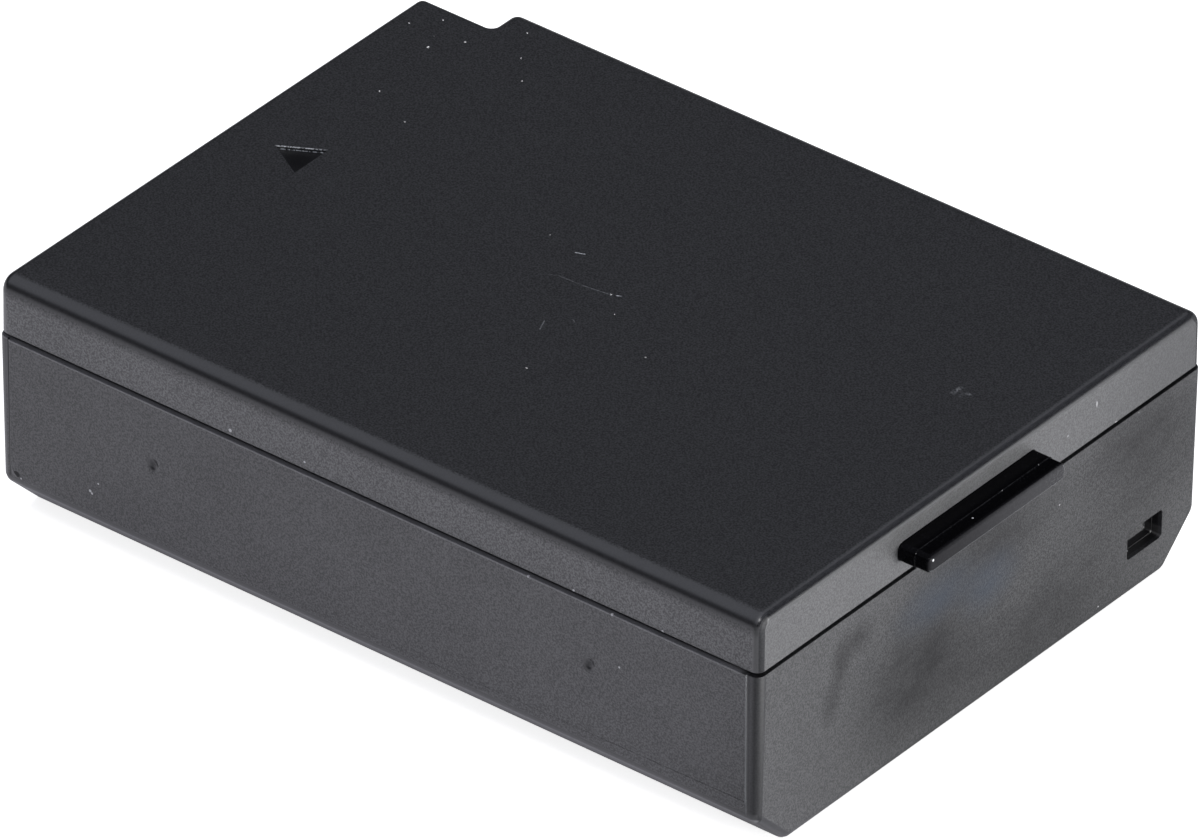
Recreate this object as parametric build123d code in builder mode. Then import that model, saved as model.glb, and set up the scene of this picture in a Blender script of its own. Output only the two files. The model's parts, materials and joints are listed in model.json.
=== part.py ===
from build123d import *
import math
import os

# Camera battery: a moulded base and lid round two flat cells in series, a circuit board and its contacts.
# Millimetres. +X runs from the contact end to the finger tab and +Z is up.
# The origin is the middle of the flat face that the battery rests on.

# Case, outside
BODY_LENGTH = 49.0
BODY_WIDTH = 36.2
BODY_HEIGHT = 14.7
SEAM_HEIGHT = 11.3
SEAM_GAP = 0.18
BASE_PROUD = 0.06
BASE_DRAFT = 0.65
CHAMFER = 2.5
CHAMFER_BLEND = 0.8
END_RADIUS = 0.5
LID_LONG_RADIUS = 0.86

# Key notch in the rear corner of the contact end
NOTCH_LENGTH = 4.72
NOTCH_DEPTH = 2.17
NOTCH_CORNER = 0.35
NOTCH_EDGE = 0.5

# Case walls and the lip that the lid sits on
WALL = 0.95
TAB_END_WALL = 1.95
FLOOR = 0.9
LID_TOP = 1.0
CAVITY_CORNER = 0.4
LIP_HEIGHT = 0.8
LIP_THICKNESS = 0.4
LIP_CLEARANCE = 0.05

# Raised panels on the long sides, with two shallow pin dents in the front one
PANEL_MARGIN = 0.69
PANEL_PROUD = 0.08
PANEL_CORNER = 0.8
DENT_SPACING = 28.2
DENT_SHIFT = -0.26
DENT_HEIGHT = 7.55
DENT_RADIUS = 0.45
DENT_DEPTH = 0.11

# Finger tab on the end wall of the lid
TAB_WIDTH = 11.27
TAB_SHIFT = -1.29
TAB_THICKNESS = 1.08
TAB_LIFT = 1.0
TAB_REACH = 1.95
TAB_ROOT = 1.05
TAB_STEP = 0.03
TAB_CORNER = 0.38
TAB_FRONT_RADIUS = 0.22

# Latch pocket in the tab end of the base
POCKET_WIDTH = 2.87
POCKET_TALL = 1.66
POCKET_DEPTH = 1.1
POCKET_SHIFT = 13.77
POCKET_HEIGHT = 3.1
POCKET_LEDGE_DEPTH = 0.67
POCKET_LEDGE = 0.05
POCKET_CORNER = 0.2

# Arrow recess in the lid
ARROW_TIP_INSET = 3.2
ARROW_LENGTH = 2.32
ARROW_WIDTH = 2.66
ARROW_SHIFT = 0.15
ARROW_DEPTH = 0.2

# Contact windows in the base
CONTACT_COUNT = 4
CONTACT_PITCH = 4.6
CONTACT_HEIGHT = 6.2
WINDOW_WIDTH = 1.8
WINDOW_TALL = 5.0
CONTACT_OVERLAP = 0.4
CONTACT_THICKNESS = 0.4

# What lies between the contact wall and the cells, one behind the other
BOARD_THICKNESS = 0.8
CARRIER_DEPTH = 3.8
CARRIER_WALL = 1.0
CARRIER_HEADROOM = 0.4
BOARD_CLEARANCE = 0.2
PAPER = 0.2

# Cells and their padding
END_PAD = 0.4
TAPE = 0.2
FOAM = 0.6
PAD_MARGIN = 4.0
CELL_SIDE_CLEARANCE = 0.3
CELL_ROUND_EASE = 0.15
CELL_RIM = 0.3
BUTTON_WIDTH = 4.0
BUTTON_TALL = 2.0
BUTTON_HEIGHT = 0.5
BUTTON_CORNER = 0.5
PAPER_CLEARANCE = 0.3
PAPER_MARGIN = 1.5

# Metal strips, and their places inwards from the edge of the carrier's opening
STRIP = 0.2
STRIP_WIDTH = 3.0
STRIP_CLEARANCE = 0.4
BUTTON_INSET = 6.9
WELD_INSET = 2.6
WELD_LENGTH = 3.6
JOG_RUN = 1.4
TAP_RISE = 2.2

# Thermal fuse
FUSE_LENGTH = 3.4
FUSE_WIDTH = 2.6
FUSE_HEIGHT = 1.1
FUSE_LEAD_RUN = 0.6
FUSE_OVERLAP = 1.4

# Parts on the board
CHIP_LENGTH = 3.0
CHIP_WIDTH = 1.7
CHIP_HEIGHT = 1.1
CHIP_LEAD_COUNT = 3
SWITCH_LENGTH = 3.0
SWITCH_WIDTH = 4.4
SWITCH_HEIGHT = 1.0
SWITCH_LEAD_COUNT = 4
LEAD_WIDTH = 0.3
LEAD_REACH = 0.5
LEAD_THICKNESS = 0.15
PASSIVE_LENGTH = 1.6
PASSIVE_WIDTH = 0.8
RESISTOR_HEIGHT = 0.45
CAPACITOR_HEIGHT = 0.8
PASSIVE_PITCH = 1.7
RESISTOR_PLACE = 2.6
CAPACITOR_PLACE = 5.4
RESISTOR_COUNT = 3
CAPACITOR_COUNT = 2

# Gaps from the edges of the carrier's opening to the parts on the board
CHIP_INSET = 0.8
RESISTOR_INSET = 0.2
SWITCH_INSET = 1.6
THERMISTOR_INSET = 1.6

# Margin for picking edges by their place, and how far a cut runs past a face
PICK_MARGIN = 0.1
CUT_PAST = 1.0

# Levels and faces that follow
SHOULDER = SEAM_HEIGHT - SEAM_GAP / 2
LID_EDGE = SEAM_HEIGHT + SEAM_GAP / 2
LIP_TOP = SEAM_HEIGHT + LIP_HEIGHT
CEILING = BODY_HEIGHT - LID_TOP
CONTACT_END = -BODY_LENGTH / 2
TAB_END = BODY_LENGTH / 2
CAVITY_FRONT = CONTACT_END + WALL
CAVITY_BACK = TAB_END - TAB_END_WALL
CAVITY_HALF_WIDTH = BODY_WIDTH / 2 - WALL
CAVITY_CHAMFER = CHAMFER + math.sqrt(2) * WALL - WALL - FLOOR
BOARD_OUTER = CAVITY_FRONT + CONTACT_THICKNESS
BOARD_INNER = BOARD_OUTER + BOARD_THICKNESS
PAPER_FACE = BOARD_INNER + CARRIER_DEPTH
HEADER = PAPER_FACE + PAPER
CELL_END = CAVITY_BACK - END_PAD
CELL_LENGTH = CELL_END - HEADER
CELL_WIDTH = 2 * (CAVITY_HALF_WIDTH - CELL_SIDE_CLEARANCE)
CELL_THICKNESS = (CEILING - FLOOR - 2 * TAPE - FOAM) / 2
LOWER_CELL = FLOOR + TAPE + CELL_THICKNESS / 2
UPPER_CELL = LOWER_CELL + CELL_THICKNESS + TAPE
FLOOR_HALF_WIDTH = CAVITY_HALF_WIDTH - CAVITY_CHAMFER
NOTCH_MIDDLE = (CONTACT_END + NOTCH_LENGTH / 2, BODY_WIDTH / 2 - NOTCH_DEPTH)
NOTCH_SIDE = (CONTACT_END + NOTCH_LENGTH, BODY_WIDTH / 2 - NOTCH_DEPTH / 2)
NOTCH_WALL = BODY_WIDTH / 2 - NOTCH_DEPTH - WALL
BOARD_HALF_WIDTH = min(FLOOR_HALF_WIDTH, NOTCH_WALL) - BOARD_CLEARANCE
BOARD_TOP = CEILING - CARRIER_HEADROOM
BOARD_MIDDLE = (FLOOR + BOARD_TOP) / 2
OPENING_HALF_WIDTH = BOARD_HALF_WIDTH - CARRIER_WALL
OPENING_TOP = BOARD_TOP - CARRIER_WALL
OPENING_BOTTOM = FLOOR + CARRIER_WALL
BUTTON_FACE = HEADER - BUTTON_HEIGHT
BUTTON_PLACE = OPENING_HALF_WIDTH - BUTTON_INSET
WELD_PLACE = OPENING_HALF_WIDTH - WELD_INSET
STRIP_END = OPENING_HALF_WIDTH - STRIP_CLEARANCE
FUSE_END = STRIP_END - FUSE_LEAD_RUN
FUSE_START = FUSE_END - FUSE_LENGTH


def box_between(low, high, mode=Mode.ADD):
    """Box between two corners."""
    middle = tuple((a + b) / 2 for a, b in zip(low, high))
    size = tuple(b - a for a, b in zip(low, high))
    with Locations(middle):
        Box(*size, mode=mode)


def case_outline(inset):
    """Outline of the case from above with its key notch, moved inwards."""
    Rectangle(BODY_LENGTH - 2 * inset, BODY_WIDTH - 2 * inset)
    with Locations((CONTACT_END, BODY_WIDTH / 2)):
        Rectangle(2 * (NOTCH_LENGTH + inset), 2 * (NOTCH_DEPTH + inset), mode=Mode.SUBTRACT)


def cavity_outline():
    """Outline of the room inside the case, which has a thicker wall at the tab end."""
    case_outline(WALL)
    with Locations((TAB_END, 0)):
        Rectangle(2 * TAB_END_WALL, BODY_WIDTH, mode=Mode.SUBTRACT)


def end_loop(part, side, level):
    """Edges of the end face on one side of a part, without those at a level."""
    face = part.faces().sort_by(Axis.X)[side]
    return [edge for edge in face.edges() if abs(edge.center().Z - level) > PICK_MARGIN]


def side_plane(side):
    """Plane of a drafted long side of the base, at its top edge: -1 is the front and 1 the back."""
    lean = math.radians(BASE_DRAFT)
    outwards = Vector(0, side * math.cos(lean), -math.sin(lean))
    return Plane((0, side * (BODY_WIDTH / 2 + BASE_PROUD), SHOULDER), x_dir=(-side, 0, 0), z_dir=outwards)


# Room inside the base, with chamfers that run along those outside
with BuildPart() as cavity:
    with BuildSketch(Plane.XY.offset(FLOOR)) as room:
        cavity_outline()
        fillet(room.vertices(), CAVITY_CORNER)
    extrude(amount=BODY_HEIGHT)
    with BuildSketch(Plane.YZ):
        for side in (-1, 1):
            with BuildLine():
                Polyline(
                    (side * CAVITY_HALF_WIDTH, FLOOR),
                    (side * (CAVITY_HALF_WIDTH - CAVITY_CHAMFER), FLOOR),
                    (side * CAVITY_HALF_WIDTH, FLOOR + CAVITY_CHAMFER),
                    close=True,
                )
            make_face()
    extrude(amount=BODY_LENGTH, both=True, mode=Mode.SUBTRACT)

# Base: a drafted tray with chamfered long edges
with BuildPart() as base:
    with BuildSketch():
        Rectangle(BODY_LENGTH + 2 * BASE_PROUD, BODY_WIDTH + 2 * BASE_PROUD)
    extrude(amount=SHOULDER)
    draft(base.faces().filter_by(Axis.Z, reverse=True), Plane.XY.offset(SHOULDER), -BASE_DRAFT)
    chamfer(base.edges().group_by(Axis.Z)[0].filter_by(Axis.X), CHAMFER)
    bends = base.edges().filter_by(Axis.X).filter_by_position(Axis.Z, -PICK_MARGIN, CHAMFER + PICK_MARGIN)
    fillet(bends, CHAMFER_BLEND)
    for side in (0, -1):
        fillet(end_loop(base, side, SHOULDER), END_RADIUS)
    with BuildSketch():
        with Locations((CONTACT_END, BODY_WIDTH / 2)):
            RectangleRounded(2 * NOTCH_LENGTH, 2 * NOTCH_DEPTH, NOTCH_CORNER)
    extrude(amount=BODY_HEIGHT, mode=Mode.SUBTRACT)
    notch_floor = base.faces().sort_by_distance((*NOTCH_MIDDLE, CONTACT_HEIGHT))[0]
    notch_side = base.faces().sort_by_distance((*NOTCH_SIDE, CONTACT_HEIGHT))[0]
    fillet([notch_floor.edges().sort_by(Axis.X)[0], notch_side.edges().sort_by(Axis.Y)[-1]], NOTCH_EDGE)
    with BuildSketch(Plane.XY.offset(SHOULDER)):
        case_outline(WALL - LIP_THICKNESS)
    extrude(amount=LIP_TOP - SHOULDER)
    add(cavity.part, mode=Mode.SUBTRACT)

    # Raised panels, from the seam down to the chamfers
    panel_tall = SHOULDER - CHAMFER - CHAMFER_BLEND * math.tan(math.pi / 8)
    for side, start in ((-1, CONTACT_END), (1, CONTACT_END + NOTCH_LENGTH)):
        length = TAB_END - start - 2 * PANEL_MARGIN
        middle = -side * (TAB_END + start) / 2
        with BuildSketch(side_plane(side)) as panel:
            with Locations((middle, -panel_tall / 2)):
                Rectangle(length, panel_tall)
            fillet(panel.vertices().group_by(Axis.Y)[0], PANEL_CORNER)
        extrude(amount=PANEL_PROUD)
    dent_ball = (DENT_RADIUS**2 + DENT_DEPTH**2) / (2 * DENT_DEPTH)
    with Locations(side_plane(-1).offset(PANEL_PROUD)):
        with Locations((DENT_SHIFT, DENT_HEIGHT - SHOULDER, dent_ball - DENT_DEPTH)):
            with GridLocations(DENT_SPACING, 0, 2, 1):
                Sphere(dent_ball, mode=Mode.SUBTRACT)

    # Latch pocket, with a fine ledge part of the way in
    for depth, ledge in ((POCKET_LEDGE_DEPTH, 0), (POCKET_DEPTH, POCKET_LEDGE)):
        with BuildSketch(Plane.YZ.offset(TAB_END - depth)):
            with Locations((POCKET_SHIFT, POCKET_HEIGHT)):
                RectangleRounded(POCKET_WIDTH - 2 * ledge, POCKET_TALL - 2 * ledge, POCKET_CORNER)
        extrude(amount=depth + CUT_PAST, mode=Mode.SUBTRACT)

    # Contact windows
    with BuildSketch(Plane.YZ.offset(CONTACT_END - CUT_PAST)):
        with Locations((0, CONTACT_HEIGHT)):
            with GridLocations(CONTACT_PITCH, 0, CONTACT_COUNT, 1):
                RectangleRounded(WINDOW_WIDTH, WINDOW_TALL, POCKET_CORNER)
    extrude(amount=WALL + 2 * CUT_PAST, mode=Mode.SUBTRACT)

# Lid: a shallow cap that sits on the lip of the base
with BuildPart() as lid:
    with BuildSketch(Plane.XY.offset(LID_EDGE)):
        Rectangle(BODY_LENGTH, BODY_WIDTH)
    extrude(amount=BODY_HEIGHT - LID_EDGE)
    fillet(lid.edges().group_by(Axis.Z)[-1].filter_by(Axis.X), LID_LONG_RADIUS)
    for side in (0, -1):
        fillet(end_loop(lid, side, LID_EDGE), END_RADIUS)
    with BuildSketch():
        with Locations((CONTACT_END, BODY_WIDTH / 2)):
            RectangleRounded(2 * NOTCH_LENGTH, 2 * NOTCH_DEPTH, NOTCH_CORNER)
    extrude(amount=BODY_HEIGHT + CUT_PAST, mode=Mode.SUBTRACT)
    notch_floor = lid.faces().sort_by_distance((*NOTCH_MIDDLE, CEILING))[0]
    fillet(notch_floor.edges().group_by(Axis.Z)[-1], NOTCH_EDGE)
    with BuildSketch(Plane.XY.offset(LID_EDGE)):
        case_outline(WALL - LIP_THICKNESS - LIP_CLEARANCE)
    extrude(amount=LIP_TOP - LID_EDGE, mode=Mode.SUBTRACT)
    with BuildSketch(Plane.XY.offset(LID_EDGE)) as hollow:
        cavity_outline()
        fillet(hollow.vertices(), CAVITY_CORNER)
    extrude(amount=CEILING - LID_EDGE, mode=Mode.SUBTRACT)

    # Finger tab, with a fine step at its mould line
    tab_middle = SEAM_HEIGHT + TAB_LIFT + TAB_THICKNESS / 2
    for reach, step in ((TAB_ROOT, 0), (TAB_REACH, TAB_STEP)):
        with BuildSketch(Plane.YZ.offset(TAB_END)):
            with Locations((TAB_SHIFT, tab_middle)):
                RectangleRounded(TAB_WIDTH - 2 * step, TAB_THICKNESS - 2 * step, TAB_CORNER - step)
        extrude(amount=reach)
    fillet(lid.edges().group_by(Axis.X)[-1], TAB_FRONT_RADIUS)

    # Arrow that points to the contact end
    with BuildSketch(Plane.XY.offset(BODY_HEIGHT)):
        with BuildLine():
            arrow_tip = CONTACT_END + ARROW_TIP_INSET
            Polyline(
                (arrow_tip, ARROW_SHIFT),
                (arrow_tip + ARROW_LENGTH, ARROW_SHIFT + ARROW_WIDTH / 2),
                (arrow_tip + ARROW_LENGTH, ARROW_SHIFT - ARROW_WIDTH / 2),
                close=True,
            )
        make_face()
    extrude(amount=-ARROW_DEPTH, mode=Mode.SUBTRACT)


def flat_cell(level, button_place):
    """Sealed flat can with rounded sides, a rim round its header and a terminal button."""
    with BuildPart() as cell:
        with BuildSketch(Plane.YZ.offset(HEADER)):
            with Locations((0, level)):
                RectangleRounded(CELL_WIDTH, CELL_THICKNESS, CELL_THICKNESS / 2 - CELL_ROUND_EASE)
        extrude(amount=CELL_LENGTH)
        fillet(cell.edges().group_by(Axis.X)[-1], CELL_RIM)
        with BuildSketch(Plane.YZ.offset(BUTTON_FACE)):
            with Locations((button_place, level)):
                RectangleRounded(BUTTON_WIDTH, BUTTON_TALL, BUTTON_CORNER)
        extrude(amount=BUTTON_HEIGHT)
    return cell


def header_paper(level, button_place, weld_place):
    """Insulating paper on a cell's header, open round the button and the weld."""
    half_width = CELL_WIDTH / 2 - PAPER_MARGIN
    half_tall = CELL_THICKNESS / 2 - 2 * PAPER_CLEARANCE
    with BuildPart() as paper:
        box_between((PAPER_FACE, -half_width, level - half_tall), (HEADER, half_width, level + half_tall))
        for place, length, tall in (
            (button_place, BUTTON_WIDTH, BUTTON_TALL),
            (weld_place, WELD_LENGTH, STRIP_WIDTH),
        ):
            window = (2 * CUT_PAST, length + 2 * PAPER_CLEARANCE, tall + 2 * PAPER_CLEARANCE)
            with Locations((HEADER, place, level)):
                Box(*window, mode=Mode.SUBTRACT)
    return paper


def flat_pad(low_level, high_level):
    """Tape or foam across the flats of the cells."""
    half_width = CELL_WIDTH / 2 - PAD_MARGIN
    with BuildPart() as pad:
        box_between(
            (HEADER + PAD_MARGIN, -half_width, low_level),
            (CELL_END - PAD_MARGIN, half_width, high_level),
        )
    return pad


def bent_strip(plane, points):
    """Strip of metal along a path on a plane, laid on the left of the path and as wide as all strips."""
    with BuildPart() as strip:
        with BuildSketch(plane):
            with BuildLine():
                Polyline(*points)
                offset(amount=STRIP, side=Side.LEFT, closed=True)
            make_face()
        extrude(amount=STRIP_WIDTH / 2, both=True)
    return strip


def leaded_chip(level, length, width, height, leads):
    """Moulded chip on the inner face of the board, with a row of leads on each side."""
    with BuildPart() as chip:
        with BuildSketch(Plane.YZ.offset(BOARD_INNER + LEAD_THICKNESS)):
            with Locations((0, level)):
                Rectangle(width, length)
        extrude(amount=height - LEAD_THICKNESS)
        pitch = length / leads
        for count in range(leads):
            lead_level = level + (count - (leads - 1) / 2) * pitch
            box_between(
                (BOARD_INNER, -width / 2 - LEAD_REACH, lead_level - LEAD_WIDTH / 2),
                (BOARD_INNER + 2 * LEAD_THICKNESS, width / 2 + LEAD_REACH, lead_level + LEAD_WIDTH / 2),
            )
    return chip


def passives(place, level, height, count=1):
    """Column of small surface-mounted parts on the inner face of the board."""
    with BuildPart() as column:
        with Locations((BOARD_INNER + height / 2, place, level)):
            with Locations([(0, 0, (i - (count - 1) / 2) * PASSIVE_PITCH) for i in range(count)]):
                Box(height, PASSIVE_LENGTH, PASSIVE_WIDTH)
    return column


# Cells, their padding and header papers
cell_lower = flat_cell(LOWER_CELL, BUTTON_PLACE)
cell_upper = flat_cell(UPPER_CELL, -BUTTON_PLACE)
paper_lower = header_paper(LOWER_CELL, BUTTON_PLACE, -BUTTON_PLACE)
paper_upper = header_paper(UPPER_CELL, -BUTTON_PLACE, WELD_PLACE)
floor_tape = flat_pad(FLOOR, FLOOR + TAPE)
middle_tape = flat_pad(UPPER_CELL - CELL_THICKNESS / 2 - TAPE, UPPER_CELL - CELL_THICKNESS / 2)
lid_foam = flat_pad(CEILING - FOAM, CEILING)
with BuildPart() as end_pad:
    pad_half = CELL_WIDTH / 2 - PAD_MARGIN
    box_between((CELL_END, -pad_half, LOWER_CELL), (CAVITY_BACK, pad_half, UPPER_CELL))

# Circuit board and the frame that holds it off the cells
with BuildPart() as board:
    box_between((BOARD_OUTER, -BOARD_HALF_WIDTH, FLOOR), (BOARD_INNER, BOARD_HALF_WIDTH, BOARD_TOP))
with BuildPart() as carrier:
    box_between((BOARD_INNER, -BOARD_HALF_WIDTH, FLOOR), (PAPER_FACE, BOARD_HALF_WIDTH, BOARD_TOP))
    box_between(
        (BOARD_INNER, -OPENING_HALF_WIDTH, OPENING_BOTTOM),
        (PAPER_FACE, OPENING_HALF_WIDTH, OPENING_TOP),
        mode=Mode.SUBTRACT,
    )

# Strips: the link in series, its tap to the board, and the two poles
link_plane = Plane.XZ.offset(BUTTON_PLACE)
link_top = UPPER_CELL + BUTTON_TALL / 2
series_link = bent_strip(
    link_plane,
    [
        (HEADER, LOWER_CELL - STRIP_WIDTH / 2),
        (HEADER, LOWER_CELL + STRIP_WIDTH / 2 - JOG_RUN),
        (BUTTON_FACE, LOWER_CELL + STRIP_WIDTH / 2),
        (BUTTON_FACE, link_top),
    ],
)
tap_top = UPPER_CELL + TAP_RISE - BUTTON_TALL / 2
middle_tap = bent_strip(
    link_plane,
    [
        (BUTTON_FACE - STRIP, UPPER_CELL - BUTTON_TALL / 2),
        (BUTTON_FACE - STRIP, tap_top),
        (BOARD_INNER, tap_top),
    ],
)
positive_strip = bent_strip(
    Plane.XY.offset(UPPER_CELL),
    [
        (BOARD_INNER, WELD_PLACE - WELD_LENGTH / 2),
        (HEADER, WELD_PLACE - WELD_LENGTH / 2),
        (HEADER, WELD_PLACE + WELD_LENGTH / 2),
    ],
)
with BuildPart() as negative_strip:
    box_between(
        (BUTTON_FACE - STRIP, BUTTON_PLACE - BUTTON_WIDTH / 2, LOWER_CELL - BUTTON_TALL / 2),
        (BUTTON_FACE, FUSE_START, LOWER_CELL + BUTTON_TALL / 2),
    )

# Thermal fuse in the negative lead: its body lies on the paper, between two flat leads
with BuildPart() as thermal_fuse:
    box_between(
        (PAPER_FACE - FUSE_HEIGHT, FUSE_START, LOWER_CELL - FUSE_WIDTH / 2),
        (PAPER_FACE, FUSE_END, LOWER_CELL + FUSE_WIDTH / 2),
    )
    lead_face = BUTTON_FACE - STRIP
    lead_half = BUTTON_TALL / 2
    box_between(
        (lead_face - STRIP, FUSE_START - FUSE_OVERLAP, LOWER_CELL - lead_half),
        (lead_face, FUSE_START, LOWER_CELL + lead_half),
    )
    box_between(
        (lead_face - STRIP, FUSE_END, LOWER_CELL - lead_half),
        (lead_face, STRIP_END, LOWER_CELL + lead_half),
    )
    box_between(
        (BOARD_INNER, STRIP_END - STRIP, LOWER_CELL - lead_half),
        (lead_face, STRIP_END, LOWER_CELL + lead_half),
    )

# Parts on the board
chip_middle = OPENING_TOP - CHIP_INSET - CHIP_LENGTH / 2
switch_middle = OPENING_BOTTOM + SWITCH_INSET + SWITCH_LENGTH / 2
resistor_run = (RESISTOR_COUNT - 1) * PASSIVE_PITCH + PASSIVE_WIDTH
resistor_middle = OPENING_TOP - RESISTOR_INSET - resistor_run / 2
thermistor_middle = OPENING_BOTTOM + THERMISTOR_INSET + PASSIVE_WIDTH / 2
protection_chip = leaded_chip(chip_middle, CHIP_LENGTH, CHIP_WIDTH, CHIP_HEIGHT, CHIP_LEAD_COUNT)
switch_chip = leaded_chip(switch_middle, SWITCH_LENGTH, SWITCH_WIDTH, SWITCH_HEIGHT, SWITCH_LEAD_COUNT)
chip_resistors = passives(RESISTOR_PLACE, resistor_middle, RESISTOR_HEIGHT, RESISTOR_COUNT)
chip_capacitors = passives(CAPACITOR_PLACE, BOARD_MIDDLE, CAPACITOR_HEIGHT, CAPACITOR_COUNT)
thermistor = passives(CAPACITOR_PLACE, thermistor_middle, RESISTOR_HEIGHT)

pieces = {
    "case_base": base,
    "case_lid": lid,
    "cell_lower": cell_lower,
    "cell_upper": cell_upper,
    "header_paper_lower": paper_lower,
    "header_paper_upper": paper_upper,
    "floor_tape": floor_tape,
    "middle_tape": middle_tape,
    "lid_foam": lid_foam,
    "end_pad": end_pad,
    "circuit_board": board,
    "board_carrier": carrier,
    "series_link": series_link,
    "middle_tap": middle_tap,
    "positive_strip": positive_strip,
    "negative_strip": negative_strip,
    "thermal_fuse": thermal_fuse,
    "protection_chip": protection_chip,
    "switch_chip": switch_chip,
    "chip_resistors": chip_resistors,
    "chip_capacitors": chip_capacitors,
    "thermistor": thermistor,
}

# Contact plates, held between the board and the end wall
for count in range(CONTACT_COUNT):
    place = (count - (CONTACT_COUNT - 1) / 2) * CONTACT_PITCH
    with BuildPart() as contact:
        with BuildSketch(Plane.YZ.offset(CAVITY_FRONT)):
            with Locations((place, CONTACT_HEIGHT)):
                Rectangle(WINDOW_WIDTH + 2 * CONTACT_OVERLAP, WINDOW_TALL + 2 * CONTACT_OVERLAP)
        extrude(amount=CONTACT_THICKNESS)
    pieces[f"contact_{count + 1}"] = contact

os.makedirs("parts", exist_ok=True)
for name, piece in pieces.items():
    piece.part.label = name
    export_step(piece.part, f"parts/{name}.step")
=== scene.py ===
import json
import math
import bpy
from mathutils import Euler, Matrix, Vector

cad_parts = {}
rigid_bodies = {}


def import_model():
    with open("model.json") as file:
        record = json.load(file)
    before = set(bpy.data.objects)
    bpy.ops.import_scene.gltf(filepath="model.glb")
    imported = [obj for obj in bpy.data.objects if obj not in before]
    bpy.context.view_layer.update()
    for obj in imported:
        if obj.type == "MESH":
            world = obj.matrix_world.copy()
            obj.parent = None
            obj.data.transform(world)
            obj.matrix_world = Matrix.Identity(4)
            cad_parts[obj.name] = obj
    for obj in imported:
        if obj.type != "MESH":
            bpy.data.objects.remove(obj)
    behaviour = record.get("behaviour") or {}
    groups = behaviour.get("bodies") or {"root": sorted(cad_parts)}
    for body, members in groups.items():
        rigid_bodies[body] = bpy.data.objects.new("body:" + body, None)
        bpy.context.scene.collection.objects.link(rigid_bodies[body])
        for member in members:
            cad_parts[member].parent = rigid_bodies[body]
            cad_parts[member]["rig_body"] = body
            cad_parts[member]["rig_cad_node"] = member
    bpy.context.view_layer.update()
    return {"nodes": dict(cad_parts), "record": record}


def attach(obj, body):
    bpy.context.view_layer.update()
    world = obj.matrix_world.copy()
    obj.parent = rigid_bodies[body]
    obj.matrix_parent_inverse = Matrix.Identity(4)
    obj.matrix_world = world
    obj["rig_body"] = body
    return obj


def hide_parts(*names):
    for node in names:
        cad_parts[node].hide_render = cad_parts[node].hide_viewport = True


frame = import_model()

# Camera battery: the two mouldings of its case, its contacts and what is inside.
# Metres, in the frame of the CAD model; the places of marks are in millimetres.
MM = 0.001

# The photograph's camera: a long lens, far away
CAMERA_TARGET = Vector((-1.951, 2.565, 4.814)) * MM
CAMERA_DISTANCE = 1.1111
CAMERA_REACH = 20
CAMERA_AZIMUTH = math.radians(38.219)
CAMERA_ELEVATION = math.radians(33.797)
CAMERA_ROLL = math.radians(0.559)
CAMERA_LENS = 654.0
SENSOR_WIDTH = 36.0

# Light tent: the sine of the elevation where it starts and is full, how much lower that is in front,
# the directions between which the front begins, its strengths and its colour
TENT_SPAN = (0.55, 0.84)
TENT_FRONT = 0.22
TENT_FRONT_SPAN = (0.1, -0.4)
TENT_STRENGTH = (0.022, 0.53)
TENT_TINT = (0.955, 0.98, 1.1, 1)

# Lamps: azimuth and elevation in degrees, distance, size, power, and whether surfaces mirror them
LAMPS = (
    ("back_lamp", 212, 50, 0.5, (0.25, 0.25), 0.8, False),
    ("end_lamp", 95, 3.5, 0.6, (0.25, 0.06), 7.4, True),
    ("camera_lamp", 42, 52, 0.8, (0.16, 0.16), 1.3, True),
)

# Floor: its paper, its glow as seen and as the front, the tab end and the near corner mirror it,
# and the places in millimetres between which one glow turns into the other
FLOOR_SIZE = 8
FLOOR_HEIGHT = -0.01 * MM
FLOOR_PAPER = (0.8, 0.8, 0.8, 1)
FLOOR_ROUGH = 0.9
FLOOR_GLOW_SEEN = 0.82
FLOOR_GLOW_FRONT = 0.55
FLOOR_GLOW_END = 0.2
FLOOR_GLOW_CORNER = 0.0
FLOOR_TINT = (1.01, 0.985, 1.11, 1)
GLOW_END_SPAN = (24, 37)
GLOW_FRONT_SPAN = (-22, -5)
GLOW_CORNER_END = (16, 28)
GLOW_CORNER_SIDE = (-13, -21)

# Mouldings: what is welded, what counts as flat, and how sharp edges are rounded
WELD = 0.001 * MM
FLAT_ANGLE = math.radians(0.4)
EDGE_ANGLE = math.radians(35)
EDGE_ROUND = 0.05 * MM
EDGE_STEPS = 2

# Linear colours of the plastics and of what marks them
BLACK = (0, 0, 0, 1)
WHITE = (1, 1, 1, 1)
CHARCOAL_DARK = (0.0055, 0.0057, 0.0067, 1)
CHARCOAL_LIGHT = (0.0145, 0.015, 0.0172, 1)
# Gloss black of the arrow recess and the panel edge, also black painted shade in the pocket and under the tab
GLOSS_BLACK_AND_SHADE = (0.002, 0.002, 0.0025, 1)
# Pale grey of painted light: a highlight on the lip and a reflection on faces under the foot
PALE_HIGHLIGHT_GREY = (0.12, 0.12, 0.13, 1)
TAB_BLACK = (0.0012, 0.0012, 0.0016, 1)
TAB_GREY = (0.005, 0.005, 0.006, 1)
# Grey of painted light on the tab's front face
TAB_FRONT_LIT_GREY = (0.034, 0.034, 0.0365, 1)
# Worn grey of the arrow rim, scratches, a scuff and the mould line, also painted highlights on the panel
# ridge and the tab's edges
WORN_AND_HIGHLIGHT_GREY = (0.65, 0.68, 0.72, 1)
WIPE_BLUE = (0.013, 0.023, 0.04, 1)
# White of specks and a hair, also a painted glint on the tab
SPECK_AND_GLINT_WHITE = (0.5, 0.5, 0.52, 1)

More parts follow.
